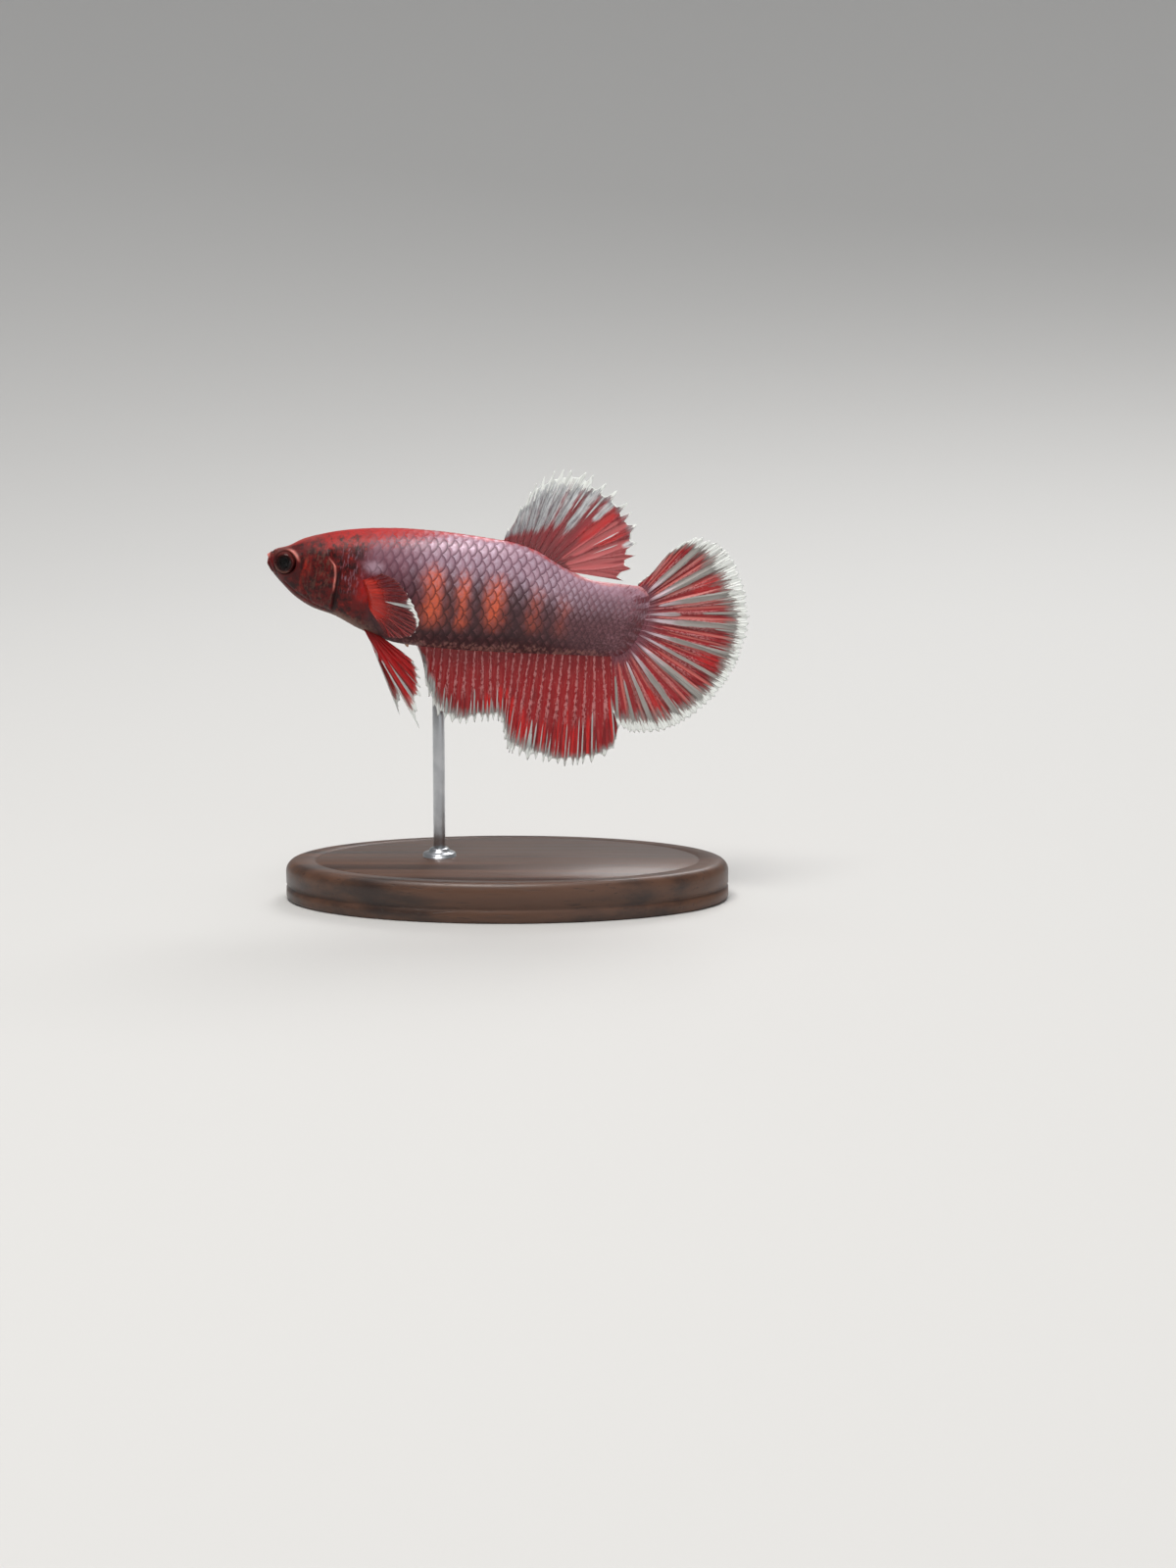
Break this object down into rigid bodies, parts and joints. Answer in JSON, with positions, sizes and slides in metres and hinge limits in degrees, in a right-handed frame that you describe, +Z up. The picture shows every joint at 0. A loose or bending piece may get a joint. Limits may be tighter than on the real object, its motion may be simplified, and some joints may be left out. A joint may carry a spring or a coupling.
{
  "type": "betta fish display model",
  "caption": "Life-size still model of an adult short-finned betta with a red and lavender scaled body and red, white-edged toothed fins, swimming nose-up on a slim rod and an oval wooden base",
  "frame": {"origin": "centre of the flat underside of the stand's base, which rests on the table", "axes": "+X runs from the snout to the tail, +Z is up and -Y is the fish's left side"},
  "size_m": [0.0601, 0.032, 0.0543],
  "materials": {
    "skin": "wet, overlapping scales, lavender pink with dark borders and orange bars, red nape and head",
    "eye": "clear domed cornea over a dark iris and a black pupil",
    "fin": "thin red membrane with white rays, streaks and a white toothed edge",
    "stand_wood": "dark stained, satin",
    "stand_steel": "fine drawn grain"
  },
  "bodies": {
    "root": {"head": "skin", "trunk": "skin", "tail": "skin", "gill_cover_left": "skin", "gill_cover_right": "skin", "eye_left": "eye", "eye_right": "eye", "dorsal_fin": "fin", "tail_fin": "fin", "anal_fin": "fin", "pectoral_fin_left": "fin", "pectoral_fin_right": "fin", "ventral_fin_left": "fin", "ventral_fin_right": "fin", "stand_base": "stand_wood", "stand_rod": "stand_steel"}
  },
  "joints": []
}
